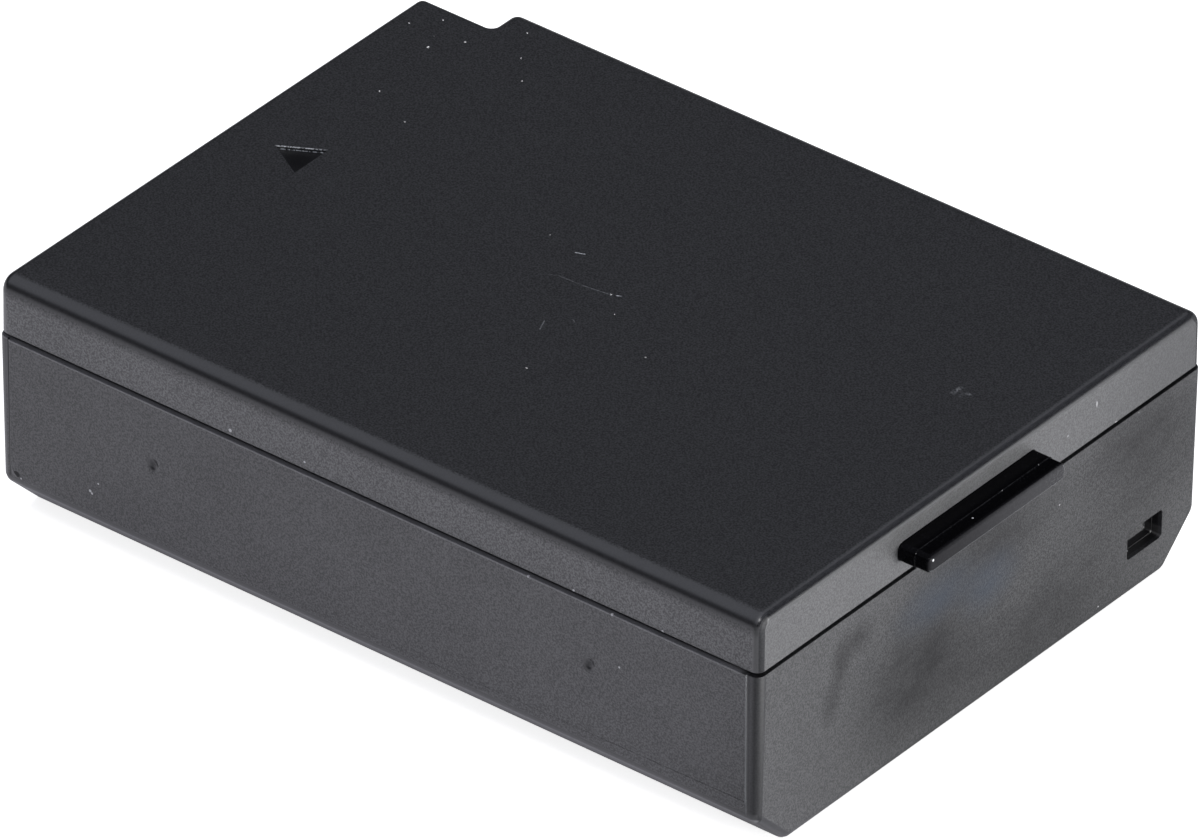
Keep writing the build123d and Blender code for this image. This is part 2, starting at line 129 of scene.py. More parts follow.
# Plastics: roughness, shine, tones, relief (strength, and depth in millimetres) and refraction
FACE_ROUGH = (0.47, 0.57)
EDGE_ROUGH = 0.33
GRAIN_SHINE = (0.5, 1.0)
CASE_RELIEF = (0.8, 0.012)
CASE_IOR = 1.7
TAB_ROUGH = (0.08, 0.16)
TAB_TONES = (0.55, 0.75)
TAB_RELIEF = (0.5, 0.003)
TAB_IOR = 1.14

# Noises: patterns per millimetre and detail; for patches also the values where they start and are full
GRAIN_PER_MM = 10.0
GRAIN_TILT = (0.62, 0.41, 0.83)
GRAIN = (GRAIN_PER_MM, 1, 0.3, 0.7)
PITTED = (2 * GRAIN_PER_MM, 1)
MOTTLED = (GRAIN_PER_MM, 2)
CLOUDED = (0.3, 3)
UNEVEN = (1.5, 3)
BROKEN = (7.0, 3, 0.42, 0.62)
NICKED = (11.0, 2, 0.36, 0.62)
FRECKLED = (9.0, 2, 0.38, 0.62)
STREAKED = (1.1, 5, 0.3, 0.7)
STREAK_STRETCH = (1, 2.6, 1)

# Ways that a surface faces: the share of its direction where a mask starts and is full,
# or the limits of the mask and their softness
WALL_FACE = (0.985, 0.998)
LEVEL_FACE = (0.95, 0.999)
TOP_FACE = (0.9, 0.99)
UPRIGHT_EDGE = (0.5, 0.3)
ROLLED_TO_END = (0.5, 0.75, 0.15)
ROLLED_UP = (0.3, 0.45)
LID_CORNER_TO_END = (0.62, 0.76)
BASE_CORNER_TO_END = (0.3, 0.5)
CORNER_TO_SIDE = (0.05, 0.15)
FOOT_TO_SIDE = (0.5, 0.7)
UNDERSIDE = (-0.4, -0.6)
TAB_EDGE_TO_END = (0.72, 0.94, 0.04)
TAB_EDGE_OUTWARD = (0.2, 0.35)

# Places on the case: where a mask starts and is full, or its limits and their softness
LID_TOP = 14.7
END_WALL = (24.1, 24.3)
LID_FAR_END = (6, 18)
BROW_HEIGHT = (13.4, 14.0)
BROW_SIDE = (17.85, 18.05)
ARROW_WALL = (14.55, 14.64, 0.01)
TAB_START = 24.53
TAB_MOULD_LINE = (25.54, 25.58, 0.02)
TAB_FRONT = (26.32, 26.4)
TAB_WIDTH = (-8, 7)
BASE_LENGTH = (-24, 14)
MARGIN_END = (23.85, 23.9)
MARGIN_SIDE = (-17.55, -17.65)
PANEL_FACE = (-18.0, -18.1)
PANEL_RIDGE = (23.75, 23.81, 0.02)
PANEL_EDGE = (-23.91, -23.81, 0.02)
POCKET_DEPTH = (23.46, 24.2, 0.02)
LIP_HEIGHT = (11.13, 11.3, 0.04)
LIP_SIDE = (-17.5, -17.9)
LIP_END = (23.8, 23.2)
FOOT_HEIGHT = (2.9, 2.75)
UNDER_SIDE = (17.6, 17.75)

# Soft spots: middle and radii
ARROW = ((-19.7, 0.15, 14.5), (4, 4, 0.12))
POCKET = ((23.5, 13.8, 3.1), (9, 4, 4))
PANEL_FLASH = ((-23.4, -18.2, 3.1), (0.35, 0.4, 0.3))
END_HAIR = ((24.5, 9.39, 13.38), (0.3, 0.06, 0.3))
DENTS = (
    ((-14.36, -18.2, 7.55), (0.55, 0.6, 0.75)),
    ((13.84, -18.2, 7.55), (0.55, 0.6, 0.75)),
)
END_WIPES = (
    ((24.45, -3.6, 8.5), (2.0, 4.6, 2.2)),
    ((24.45, 0.7, 7.2), (2.0, 3.4, 2.4)),
)

# Smears on the tab end of the base, with painted shadow under the tab: middle, radii and strength
END_SMEARS_AND_SHADE = (
    ((24.45, -10.2, 9.4), (2.0, 2.2, 1.6), 0.6),
    ((24.45, -11.5, 8.6), (2.0, 1.2, 2.4), 0.65),
    ((24.45, -12.2, 6.6), (2.0, 1.1, 2.0), 0.55),
    ((24.45, -5.0, 5.0), (2.0, 8.0, 6.5), 0.85),
    ((24.45, 5.0, 2.5), (2.0, 12.0, 6.0), 0.6),
    ((24.45, -2.0, 10.0), (2.0, 9.0, 3.0), 0.35),
    ((24.45, 14.0, 8.0), (2.0, 10.0, 7.0), 0.66),
    ((24.45, 12.5, 10.0), (2.0, 7.0, 2.4), 0.4),
    ((24.45, 2.0, 9.2), (2.0, 8.0, 4.5), 0.62),
)

# Specks, and on the tab a painted glint: middle, radius and strength
LID_SPECKS = (
    ((-9.37, -18.1, 11.7), 0.16, 1.0),
    ((-4.54, -18.1, 11.83), 0.1, 1.0),
    ((12.75, -18.1, 11.47), 0.12, 1.0),
    ((18.41, -18.1, 11.44), 0.12, 1.0),
    ((24.5, 11.04, 11.4), 0.12, 0.6),
    ((24.5, 7.02, 12.67), 0.1, 0.25),
)
# On the tab the first is a painted glint of a lamp on the near front corner; the rest are specks
TAB_SPECKS_AND_GLINTS = (
    ((26.4, -6.55, 13.09), 0.14, 1.0),
    ((25.9, -2.64, 13.38), 0.1, 1.0),
    ((25.56, 0.2, 13.38), 0.06, 0.2),
    ((25.56, 3.2, 13.38), 0.06, 0.15),
)
BASE_SPECKS = (
    ((-18.52, -18.2, 4.16), 0.15, 1.0),
    ((-18.4, -18.2, 4.05), 0.13, 1.0),
    ((-17.98, -18.2, 4.82), 0.1, 1.0),
    ((15.78, -18.2, 8.19), 0.1, 1.0),
    ((9.95, -18.2, 11.18), 0.12, 1.0),
    ((15.3, -18.2, 11.18), 0.12, 1.0),
    ((-23.1, -18.2, 2.95), 0.12, 1.0),
    ((24.5, 12.88, 11.09), 0.1, 0.7),
    ((23.9, 13.04, 2.3), 0.12, 0.8),
    ((24.5, 10.0, 0.69), 0.12, 0.6),
    ((24.5, 6.41, 8.83), 0.1, 0.35),
)

# Straight marks on the lid: start, end, half width and strength
ARROW_RIM = (
    ((-21.43, 0.08), (-18.85, 1.55), 0.06, 0.7),
)
SCRATCHES = (
    ((-3.5, -0.7), (-2.6, -0.14), 0.04, 0.1),
    ((-2.7, -0.16), (-1.1, -0.08), 0.035, 0.16),
    ((-1.2, -0.1), (0.6, 0.14), 0.04, 0.2),
    ((0.8, 0.24), (1.1, 0.4), 0.05, 0.8),
    ((-3.3, 2.03), (-2.7, 2.26), 0.05, 0.9),
    ((-0.2, -4.7), (-0.58, -3.75), 0.045, 0.22),
    ((0.42, -2.8), (0.76, -2.98), 0.045, 0.2),
    ((22.5, 11.55), (23.7, 12.5), 0.05, 0.06),
)
SCUFF = (
    ((19.45, 3.85), (19.48, 4.8), 0.24, 0.12),
    ((19.44, 4.15), (19.47, 4.5), 0.12, 0.22),
    ((19.95, 3.85), (19.97, 4.5), 0.2, 0.08),
    ((19.93, 4.36), (20.32, 4.5), 0.18, 0.14),
)
MARK_ENDS = (1.0, 0.7)
MARK_SIDES = (1.0, 0.2)

# Edges of soft spots, and strengths of marks
SMALL_DOT_EDGE = (0.2, 0.5)
HAIR_EDGE = (0.2, 0.6)
POCKET_EDGE = (0.0, 0.2)
DENT_CORE = (0.35, 0.75)
DENT_SHOWN = 0.6
DENT_CORE_SHOWN = 0.85
DENT_RELIEF = 9.0
HAIR_SHOWN = 0.6
LID_END_SHOWN = 0.5
BROW_SHOWN = 0.5
BASE_SHOWN = (0.36, 0.27)
RIDGE_HIGHLIGHT_SHOWN = 0.08
BASE_END_DARKER_SHOWN = 0.25
WIPE_SHOWN = 0.42
SCRATCH_SHOWN = (0.45, 1.0)
SMEAR_AND_SHADE_SHOWN = (0.74, 1.0)
LIP_HIGHLIGHT_SHOWN = (0.5, 1.0)
TAB_FRONT_ALONG = (0.25, 1.0)
TAB_FRONT_SHOWN = (0.85, 1.0)
TAB_EDGE_SHOWN = (0.055, 0.085)
TAB_LINE_SHOWN = 0.006

# What edges and marks change of the plastic; the last two are shares of the shine
ROUNDED = {"shine": 0.8, "relief": 0.5}
UPRIGHT = {"shine": 0.65}
TOP = {"rough": 0.37}
IN_ARROW = {"colour": GLOSS_BLACK_AND_SHADE, "rough": 0.3, "shine": 0.18}
ON_LID_END = {"shine": 0.76}
# Painted shade: the next four dim reflections on the far part of the tab end, its rounded top edge, under the
# front and back top edges, and on its corners
ON_LID_FAR_END = {"shine": 0.4}
ON_ROLLED_EDGE = {"shine": 0.3, "rough": 0.25}
ON_BROW = {"shine": 0.08}
ON_LID_CORNER = {"shine": 0.15, "rough": 0.6}
ON_BASE = {"shine": 0.2}
# Painted shade in the pin dents
IN_DENT = {"shine": 0.25}
# Painted shade on the strip at the near corner of the base
ON_MARGIN = {"shine": 0.31, "rough": 0.4}
# Painted shade inside the pocket: black, with less shine
IN_POCKET = {"colour": GLOSS_BLACK_AND_SHADE, "shine": 0.35}
WIPED = {"colour": WIPE_BLUE, "shine": 0.2}
AT_PANEL_EDGE = {"colour": GLOSS_BLACK_AND_SHADE, "shine": 0.1}
# Painted shade on the rounded near corner of the base
ON_BASE_CORNER = {"shine": 0.22, "rough": 0.6}
ON_FOOT = {"shine": 0.5, "rough": 0.5}
# Painted light: faces under the foot turn pale, for the bright floor they mirror
UNDER_FOOT = {"colour": PALE_HIGHLIGHT_GREY, "rough": 0.6}
# Painted light: the tab's front face turns grey
ON_TAB_FRONT = {"colour": TAB_FRONT_LIT_GREY, "rough": 0.3}
BASE_END_DARKER_SHINE = 0.27
SMEAR_AND_SHADE_SHINE = 0.22

# Dust that lies on the lid: place and radius of each speck, their shape, the turn from one to the next,
# and the share of the radius by which points stray
DUST_ON_LID = (
    (-23.3, 13.44, 0.06), (-22.12, 14.77, 0.066), (-21.11, 12.28, 0.1),
    (-19.93, 13.86, 0.075), (-21.52, 13.29, 0.03), (-17.99, 16.55, 0.065),
    (-16.75, 14.5, 0.053), (-15.35, 12.83, 0.053), (5.49, -3.23, 0.06),
    (0.56, 0.17, 0.07), (1.84, -1.15, 0.045), (-5.25, 2.5, 0.04),
    (-17.6, 6.03, 0.05), (1.45, -7.77, 0.08), (-20.42, 7.47, 0.068),
)
DUST_SHAPE = (1.0, 0.6, 0.3)
DUST_TURN = 2.4
DUST_STRAY = 0.2

# Two-tone finishes of the dust, and by the record's slots of what is inside and of the contacts:
# dark and light, patterns per millimetre, roughness, relief, and where needed stretch and metal
DUST = ((0.35, 0.36, 0.36), (0.6, 0.6, 0.6), 20, 0.8, 0.01)
SLOTS = {
    "cell_can": ((0.45, 0.45, 0.46), (0.62, 0.62, 0.63), 6, 0.35, 0.004, (14, 1, 1), 1.0),
    "adhesive_tape": ((0.62, 0.6, 0.5), (0.8, 0.78, 0.68), 2.5, 0.7, 0.02),
    "foam": ((0.008, 0.008, 0.008), (0.035, 0.035, 0.035), 4, 0.9, 0.08),
    "header_paper": ((0.02, 0.05, 0.035), (0.035, 0.075, 0.05), 5, 0.75, 0.01, (1, 3, 1)),
    "nickel_strip": ((0.42, 0.4, 0.37), (0.6, 0.58, 0.54), 12, 0.32, 0.003, (1, 1, 9), 1.0),
    "board_laminate": ((0.004, 0.035, 0.014), (0.007, 0.055, 0.022), 1.6, 0.3, 0.006),
    "carrier_plastic": ((0.007, 0.007, 0.008), (0.012, 0.012, 0.014), 8, 0.45, 0.01),
    "gold_contact": ((0.72, 0.47, 0.16), (0.95, 0.7, 0.3), 9, 0.36, 0.004, (1, 1, 8), 0.8),
    "chip_mould": ((0.006, 0.006, 0.006), (0.014, 0.014, 0.014), 16, 0.5, 0.006),
    "passive_body": ((0.1, 0.06, 0.03), (0.17, 0.11, 0.06), 8, 0.35, 0.004),
    "fuse_body": ((0.4, 0.37, 0.28), (0.52, 0.48, 0.38), 5, 0.3, 0.004),
}
PATTERN_DETAIL = 4
PATTERN_TONES = (0.3, 0.7)
PATTERN_ROUGH = 0.06
PATTERN_RELIEF = 0.5


def start_clean():
    """Leave no object selected, so that an operator acts only on the new piece."""
    bpy.ops.object.select_all(action="DESELECT")


def finish_piece(piece, nodes=()):
    """The piece rides with the battery and stands for its CAD nodes."""
    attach(piece, "root")
    if nodes:
        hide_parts(*nodes)


def apply_modifiers(piece):
    """Make every modifier of the piece part of its mesh."""
    start_clean()
    piece.select_set(True)
    bpy.context.view_layer.objects.active = piece
    for modifier in list(piece.modifiers):
        bpy.ops.object.modifier_apply(modifier=modifier.name)


def moulding(node, name):
    """A moulded shell on its CAD node: triangles merged to clean faces, sharp edges slightly rounded."""
    start_clean()
    source = frame["nodes"][node]
    source.select_set(True)
    bpy.context.view_layer.objects.active = source
    bpy.ops.object.duplicate()
    shell = bpy.context.view_layer.objects.active
    shell.name = name
    shell.data.name = name
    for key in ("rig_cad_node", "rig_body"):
        del shell[key]
    bpy.ops.mesh.customdata_custom_splitnormals_clear()
    bpy.ops.object.mode_set(mode="EDIT")
    bpy.ops.mesh.select_all(action="SELECT")
    bpy.ops.mesh.remove_doubles(threshold=WELD)
    bpy.ops.mesh.dissolve_limited(angle_limit=FLAT_ANGLE)
    bpy.ops.object.mode_set(mode="OBJECT")
    bevel = shell.modifiers.new("edges", "BEVEL")
    bevel.width = EDGE_ROUND
    bevel.segments = EDGE_STEPS
    bevel.limit_method = "ANGLE"
    bevel.angle_limit = EDGE_ANGLE
    bevel.use_clamp_overlap = False
    apply_modifiers(shell)
    bpy.ops.object.shade_smooth_by_angle(angle=EDGE_ANGLE)
    weight = shell.modifiers.new("normals", "WEIGHTED_NORMAL")
    weight.keep_sharp = True
    apply_modifiers(shell)
    return shell


def dust_specks():
    """Pale specks of dust that lie on the lid."""
    specks = []
    for count, (x, y, radius) in enumerate(DUST_ON_LID):
        size = radius * MM
        middle = (x * MM, y * MM, LID_TOP * MM)
        start_clean()
        bpy.ops.mesh.primitive_ico_sphere_add(subdivisions=2, radius=size, location=middle)
        speck = bpy.context.active_object
        speck.scale = DUST_SHAPE
        speck.rotation_euler = (0, 0, count * DUST_TURN)
        bpy.ops.object.transform_apply(location=True, rotation=True, scale=True)
        bpy.ops.object.mode_set(mode="EDIT")
        bpy.ops.transform.vertex_random(offset=size * DUST_STRAY, seed=count)
        bpy.ops.object.mode_set(mode="OBJECT")
        specks.append(speck)
    start_clean()
    for speck in specks:
        speck.select_set(True)
    bpy.context.view_layer.objects.active = specks[0]
    bpy.ops.object.join()
    dust = bpy.context.active_object
    dust.name = "dust_specks"
    bpy.ops.object.transform_apply(location=True, rotation=True, scale=True)
    bpy.ops.object.shade_smooth()
    return dust


def new_material(name):
    """A node material with its shader."""
    material = bpy.data.materials.new(name)
    material.use_nodes = True
    return material, material.node_tree, material.node_tree.nodes["Principled BSDF"]


def set_material(piece, material):
    """Give the piece this material alone."""
    piece.data.materials.clear()
    piece.data.materials.append(material)


def feed(tree, target, value):
    """Link an input to an output, or set its plain value."""
    if isinstance(value, bpy.types.NodeSocket):
        tree.links.new(value, target)
    else:
        target.default_value = value


def maths(tree, operation, *values):
    """One step of arithmetic."""
    node = tree.nodes.new("ShaderNodeMath")
    node.operation = operation
    for target, value in zip(node.inputs, values):
        feed(tree, target, value)
    return node.outputs["Value"]


def unsigned(tree, value):
    """The value without its sign."""
    return maths(tree, "ABSOLUTE", value)


def opposite(tree, mask):
    """1 where the mask is 0, and 0 where it is 1."""
    return maths(tree, "SUBTRACT", 1.0, mask)


def times(tree, *values):
    """Product of several masks."""
    product = values[0]
    for value in values[1:]:
        product = maths(tree, "MULTIPLY", product, value)
    return product


def any_of(tree, *masks):
    """The strongest of several masks."""
    most = masks[0]
    for mask in masks[1:]:
        most = maths(tree, "MAXIMUM", most, mask)
    return most


def ramp(tree, value, low, high):
    """0 at low and 1 at high, smooth between."""
    node = tree.nodes.new("ShaderNodeMapRange")
    node.interpolation_type = "SMOOTHSTEP"
    feed(tree, node.inputs["Value"], value)
    node.inputs["From Min"].default_value = low
    node.inputs["From Max"].default_value = high
    return node.outputs["Result"]


def between(tree, value, low, high, soft):
    """1 between two values and 0 outside, with a soft edge."""
    return times(tree, ramp(tree, value, low - soft, low), ramp(tree, value, high + soft, high))


# The mix node has several sockets of one name, so these two take them by number
def blend_colour(tree, factor, first, second):
    """From the first colour to the second."""
    node = tree.nodes.new("ShaderNodeMix")
    node.data_type = "RGBA"
    feed(tree, node.inputs[0], factor)
    feed(tree, node.inputs[6], first)
    feed(tree, node.inputs[7], second)
    return node.outputs[2]


def blend_number(tree, factor, first, second):
    """From the first number to the second."""
    node = tree.nodes.new("ShaderNodeMix")
    feed(tree, node.inputs[0], factor)
    feed(tree, node.inputs[2], first)
    feed(tree, node.inputs[3], second)
    return node.outputs[0]


def millimetres(tree):
    """Place on the piece, in millimetres of the battery's frame."""
    place = tree.nodes.new("ShaderNodeTexCoord")
    scale = tree.nodes.new("ShaderNodeVectorMath")
    scale.operation = "SCALE"
    scale.inputs["Scale"].default_value = 1 / MM
    tree.links.new(place.outputs["Object"], scale.inputs[0])
    return scale.outputs["Vector"]


def split(tree, place):
    """The three coordinates of a place."""
    node = tree.nodes.new("ShaderNodeSeparateXYZ")
    tree.links.new(place, node.inputs["Vector"])
    return node.outputs["X"], node.outputs["Y"], node.outputs["Z"]


def tilted(tree, place):
    """Place on slanted axes, so that no face lies along the grid of a noise."""
    node = tree.nodes.new("ShaderNodeMapping")
    node.inputs["Rotation"].default_value = GRAIN_TILT
    tree.links.new(place, node.inputs["Vector"])
    return node.outputs["Vector"]


def moved(tree, place, centre=(0, 0, 0), turn=0.0, size=(1, 1, 1)):
    """Place seen from a centre, turned about Z and measured in sizes."""
    node = tree.nodes.new("ShaderNodeMapping")
    node.vector_type = "TEXTURE"
    node.inputs["Location"].default_value = centre
    node.inputs["Rotation"].default_value = (0, 0, turn)
    node.inputs["Scale"].default_value = size
    tree.links.new(place, node.inputs["Vector"])
    return node.outputs["Vector"]


def facing(tree):
    """The way that the surface faces: to the tab end, to the back and up."""
    direction = tree.nodes.new("ShaderNodeTexCoord")
    return split(tree, direction.outputs["Normal"])


def flat_faces(tree):
    """1 on flat faces and 0 on rounded edges."""
    to_end, to_side, up = facing(tree)
    wall = any_of(tree, unsigned(tree, to_end), unsigned(tree, to_side))
    level = ramp(tree, unsigned(tree, up), *LEVEL_FACE)
    return any_of(tree, ramp(tree, wall, *WALL_FACE), level)


def noise(tree, place, scale, detail):
    """Soft random pattern between 0 and 1."""
    node = tree.nodes.new("ShaderNodeTexNoise")
    node.inputs["Scale"].default_value = scale
    node.inputs["Detail"].default_value = detail
    tree.links.new(place, node.inputs["Vector"])
    return node.outputs["Fac"]


def patches(tree, place, scale, detail, low, high):
    """Random patches: 1 where a noise is high and 0 where it is low."""
    return ramp(tree, noise(tree, place, scale, detail), low, high)


def spot(tree, place, centre, radii):
    """1 in the middle of a soft ellipsoid and 0 outside it."""
    node = tree.nodes.new("ShaderNodeVectorMath")
    node.operation = "LENGTH"
    tree.links.new(moved(tree, place, centre, size=radii), node.inputs[0])
    return ramp(tree, node.outputs["Value"], 1.0, 0.0)


def line_mark(tree, place, start, end, width):
    """1 along a thin straight mark, seen from above."""
    run = Vector(end) - Vector(start)
    middle = (Vector(start) + Vector(end)) / 2
    turn = math.atan2(run.y, run.x)
    seen = moved(tree, place, (middle.x, middle.y, 0), turn, (run.length / 2, width, 1))
    x, y, _ = split(tree, seen)
    along = ramp(tree, unsigned(tree, x), *MARK_ENDS)
    across = ramp(tree, unsigned(tree, y), *MARK_SIDES)
    return times(tree, along, across)


def line_marks(tree, place, marks):
    """Several straight marks, each at its own strength."""
    return any_of(tree, *[times(tree, line_mark(tree, place, *line), shown) for *line, shown in marks])


def add_bump(tree, shader, height, strength, relief):
    """Give the surface a fine relief, in millimetres."""
    bump = tree.nodes.new("ShaderNodeBump")
    bump.inputs["Strength"].default_value = strength
    bump.inputs["Distance"].default_value = relief * MM
    tree.links.new(height, bump.inputs["Height"])
    tree.links.new(bump.outputs["Normal"], shader.inputs["Normal"])


def lay_over(tree, finish, mask, **values):
    """Change channels of a finish to other values where the mask is 1."""
    for channel, value in values.items():
        mix = blend_colour if channel == "colour" else blend_number
        finish[channel] = mix(tree, mask, finish[channel], value)


def darken(tree, finish, mask, share):
    """Turn the finish black and lower its shine to a share where the mask is 1."""
    lay_over(tree, finish, mask, shine=times(tree, finish["shine"], share), colour=GLOSS_BLACK_AND_SHADE)


def add_specks_and_glints(tree, place, finish, middles):
    """Small white specks of dust; on the tab one of them is a painted glint."""
    specks = []
    for middle, size, shown in middles:
        speck = ramp(tree, spot(tree, place, middle, (size, size, size)), *SMALL_DOT_EDGE)
        specks.append(times(tree, speck, shown))
    lay_over(tree, finish, any_of(tree, *specks), colour=SPECK_AND_GLINT_WHITE)


def lid_marks(tree, place, finish):
    """Arrow recess, scratches, a scuff, specks and a hair; then the shine of the tab end and of the edges,
    with painted shade on the far end, the edges and the corners.
    """
    x, y, z = split(tree, place)
    to_end, to_side, up = facing(tree)
    lay_over(tree, finish, spot(tree, place, *ARROW), **IN_ARROW)
    off_wall = opposite(tree, between(tree, z, *ARROW_WALL))
    rim = times(tree, line_marks(tree, place, ARROW_RIM), off_wall, patches(tree, place, *NICKED))
    patchy = blend_number(tree, patches(tree, place, *BROKEN), *SCRATCH_SHOWN)
    scratched = times(tree, line_marks(tree, place, SCRATCHES), patchy)
    freckled = patches(tree, tilted(tree, place), *FRECKLED)
    scuffed = times(tree, line_marks(tree, place, SCUFF), freckled)
    lay_over(tree, finish, any_of(tree, rim, scratched, scuffed), colour=WORN_AND_HIGHLIGHT_GREY)
    add_specks_and_glints(tree, place, finish, LID_SPECKS)
    hair = ramp(tree, spot(tree, place, *END_HAIR), *HAIR_EDGE)
    lay_over(tree, finish, times(tree, hair, HAIR_SHOWN), colour=SPECK_AND_GLINT_WHITE)
    end = times(tree, ramp(tree, x, *END_WALL), LID_END_SHOWN)
    lay_over(tree, finish, end, **ON_LID_END)
    # Painted shade: the tab end of the lid shines less towards its far end
    lay_over(tree, finish, times(tree, end, ramp(tree, y, *LID_FAR_END)), **ON_LID_FAR_END)
    # Painted shade: the rounded top edge of the tab end keeps the lamp's highlight dim
    rolled = times(tree, between(tree, to_end, *ROLLED_TO_END), ramp(tree, up, *ROLLED_UP))
    lay_over(tree, finish, rolled, **ON_ROLLED_EDGE)
    # Painted shade: a darker band just under the front and back top edges
    brow = times(tree, ramp(tree, z, *BROW_HEIGHT), ramp(tree, unsigned(tree, y), *BROW_SIDE))
    lay_over(tree, finish, times(tree, brow, BROW_SHOWN), **ON_BROW)
    # Painted shade: the corners of the tab end dim the lamp's highlight
    sideways = ramp(tree, unsigned(tree, to_side), *CORNER_TO_SIDE)
    lay_over(tree, finish, times(tree, ramp(tree, to_end, *LID_CORNER_TO_END), sideways), **ON_LID_CORNER)


def base_marks(tree, place, finish):
    """Pin dents with painted shade, margins of the front panel with painted shade on the near corner, painted
    shade in the pocket, painted highlights on the lip and the panel ridge, a duller foot with pale painted
    light under it, specks, and smears with painted shade on the tab end.
    """
    x, y, z = split(tree, place)
    to_end, to_side, up = facing(tree)
    sideways = unsigned(tree, to_side)
    # The base shines less than the lid, with painted shade that deepens towards the end away from the tab
    lay_over(tree, finish, blend_number(tree, ramp(tree, x, *BASE_LENGTH), *BASE_SHOWN), **ON_BASE)
    # Pin dents: sunk by relief, with painted shade that dims their reflection
    for dimple in DENTS:
        dent = spot(tree, place, *dimple)
        core = times(tree, ramp(tree, dent, *DENT_CORE), DENT_CORE_SHOWN)
        lay_over(tree, finish, any_of(tree, times(tree, dent, DENT_SHOWN), core), **IN_DENT)
        finish["relief"] = maths(tree, "SUBTRACT", finish["relief"], times(tree, dent, DENT_RELIEF))
    # Painted shade: the strip at the near corner of the base shines less
    margin = times(tree, ramp(tree, x, *MARGIN_END), ramp(tree, y, *MARGIN_SIDE))
    lay_over(tree, finish, margin, **ON_MARGIN)
    panel = ramp(tree, y, *PANEL_FACE)
    # Painted highlight: a thin pale line along the panel's edge at the tab end
    panel_ridge_highlight = times(tree, between(tree, x, *PANEL_RIDGE), panel, RIDGE_HIGHLIGHT_SHOWN)
    lay_over(tree, finish, panel_ridge_highlight, colour=WORN_AND_HIGHLIGHT_GREY)
    # The tab end of the base is darker and shines less
    darken(tree, finish, times(tree, ramp(tree, x, *END_WALL), BASE_END_DARKER_SHOWN), BASE_END_DARKER_SHINE)
    # Painted shade: the floor and side wall inside the pocket turn black and shine less
    within = times(tree, between(tree, x, *POCKET_DEPTH), spot(tree, place, *POCKET))
    lay_over(tree, finish, ramp(tree, within, *POCKET_EDGE), **IN_POCKET)
    streaks = patches(tree, moved(tree, place, size=STREAK_STRETCH), *STREAKED)
    ragged = blend_number(tree, streaks, *SMEAR_AND_SHADE_SHOWN)
    # Smears, and painted shadow under the tab: black, with less shine
    for middle, radii, shown in END_SMEARS_AND_SHADE:
        darken(tree, finish, times(tree, spot(tree, place, middle, radii), ragged, shown), SMEAR_AND_SHADE_SHINE)
    for middle, radii in END_WIPES:
        wipe = times(tree, spot(tree, place, middle, radii), ragged, WIPE_SHOWN)
        lay_over(tree, finish, wipe, **WIPED)
    # Painted highlight: a pale, uneven line along the rounded top edge of the base, below the seam
    uneven = blend_number(tree, noise(tree, place, *UNEVEN), *LIP_HIGHLIGHT_SHOWN)
    lip_highlight = times(tree, between(tree, z, *LIP_HEIGHT), ramp(tree, y, *LIP_SIDE))
    lay_over(tree, finish, times(tree, lip_highlight, ramp(tree, x, *LIP_END), uneven), colour=PALE_HIGHLIGHT_GREY)
    edge = times(tree, between(tree, x, *PANEL_EDGE), panel)
    flash = ramp(tree, spot(tree, place, *PANEL_FLASH), *SMALL_DOT_EDGE)
    lay_over(tree, finish, any_of(tree, edge, flash), **AT_PANEL_EDGE)
    # Painted shade: the rounded near corner of the base shines still less
    rounded = times(tree, ramp(tree, to_end, *BASE_CORNER_TO_END), ramp(tree, sideways, *CORNER_TO_SIDE))
    lay_over(tree, finish, times(tree, margin, rounded), **ON_BASE_CORNER)
    foot = times(tree, ramp(tree, z, *FOOT_HEIGHT), ramp(tree, sideways, *FOOT_TO_SIDE))
    lay_over(tree, finish, foot, **ON_FOOT)
    # Painted light: the down-facing faces of the long sides turn pale, for the bright floor they mirror
    under = times(tree, ramp(tree, up, *UNDERSIDE), ramp(tree, unsigned(tree, y), *UNDER_SIDE))
    lay_over(tree, finish, under, **UNDER_FOOT)
    add_specks_and_glints(tree, place, finish, BASE_SPECKS)


def case_plastic(name, add_marks):
    """Charcoal plastic with a fine moulded grain, smoother on rounded edges and on top."""
    material, tree, shader = new_material(name)
    place = millimetres(tree)
    slanted = tilted(tree, place)
    grain = patches(tree, slanted, *GRAIN)
    face_rough = blend_number(tree, noise(tree, place, *CLOUDED), *FACE_ROUGH)
    flat = flat_faces(tree)
    rounded = opposite(tree, flat)
    _, _, up = facing(tree)
    finish = {
        "colour": blend_colour(tree, grain, CHARCOAL_DARK, CHARCOAL_LIGHT),
        "rough": blend_number(tree, flat, EDGE_ROUGH, face_rough),
        "shine": blend_number(tree, grain, *GRAIN_SHINE),
        "relief": noise(tree, slanted, *PITTED),
    }
    lay_over(tree, finish, rounded, **ROUNDED)
    lay_over(tree, finish, times(tree, rounded, ramp(tree, unsigned(tree, up), *UPRIGHT_EDGE)), **UPRIGHT)
    lay_over(tree, finish, times(tree, flat, ramp(tree, up, *TOP_FACE)), **TOP)
    add_marks(tree, place, finish)
    feed(tree, shader.inputs["Base Color"], finish["colour"])
    feed(tree, shader.inputs["Roughness"], finish["rough"])
    feed(tree, shader.inputs["Specular Tint"], blend_colour(tree, finish["shine"], BLACK, WHITE))
    add_bump(tree, shader, finish["relief"], *CASE_RELIEF)
    shader.inputs["IOR"].default_value = CASE_IOR
    shader.inputs["Specular IOR Level"].default_value = 1.0
    return material


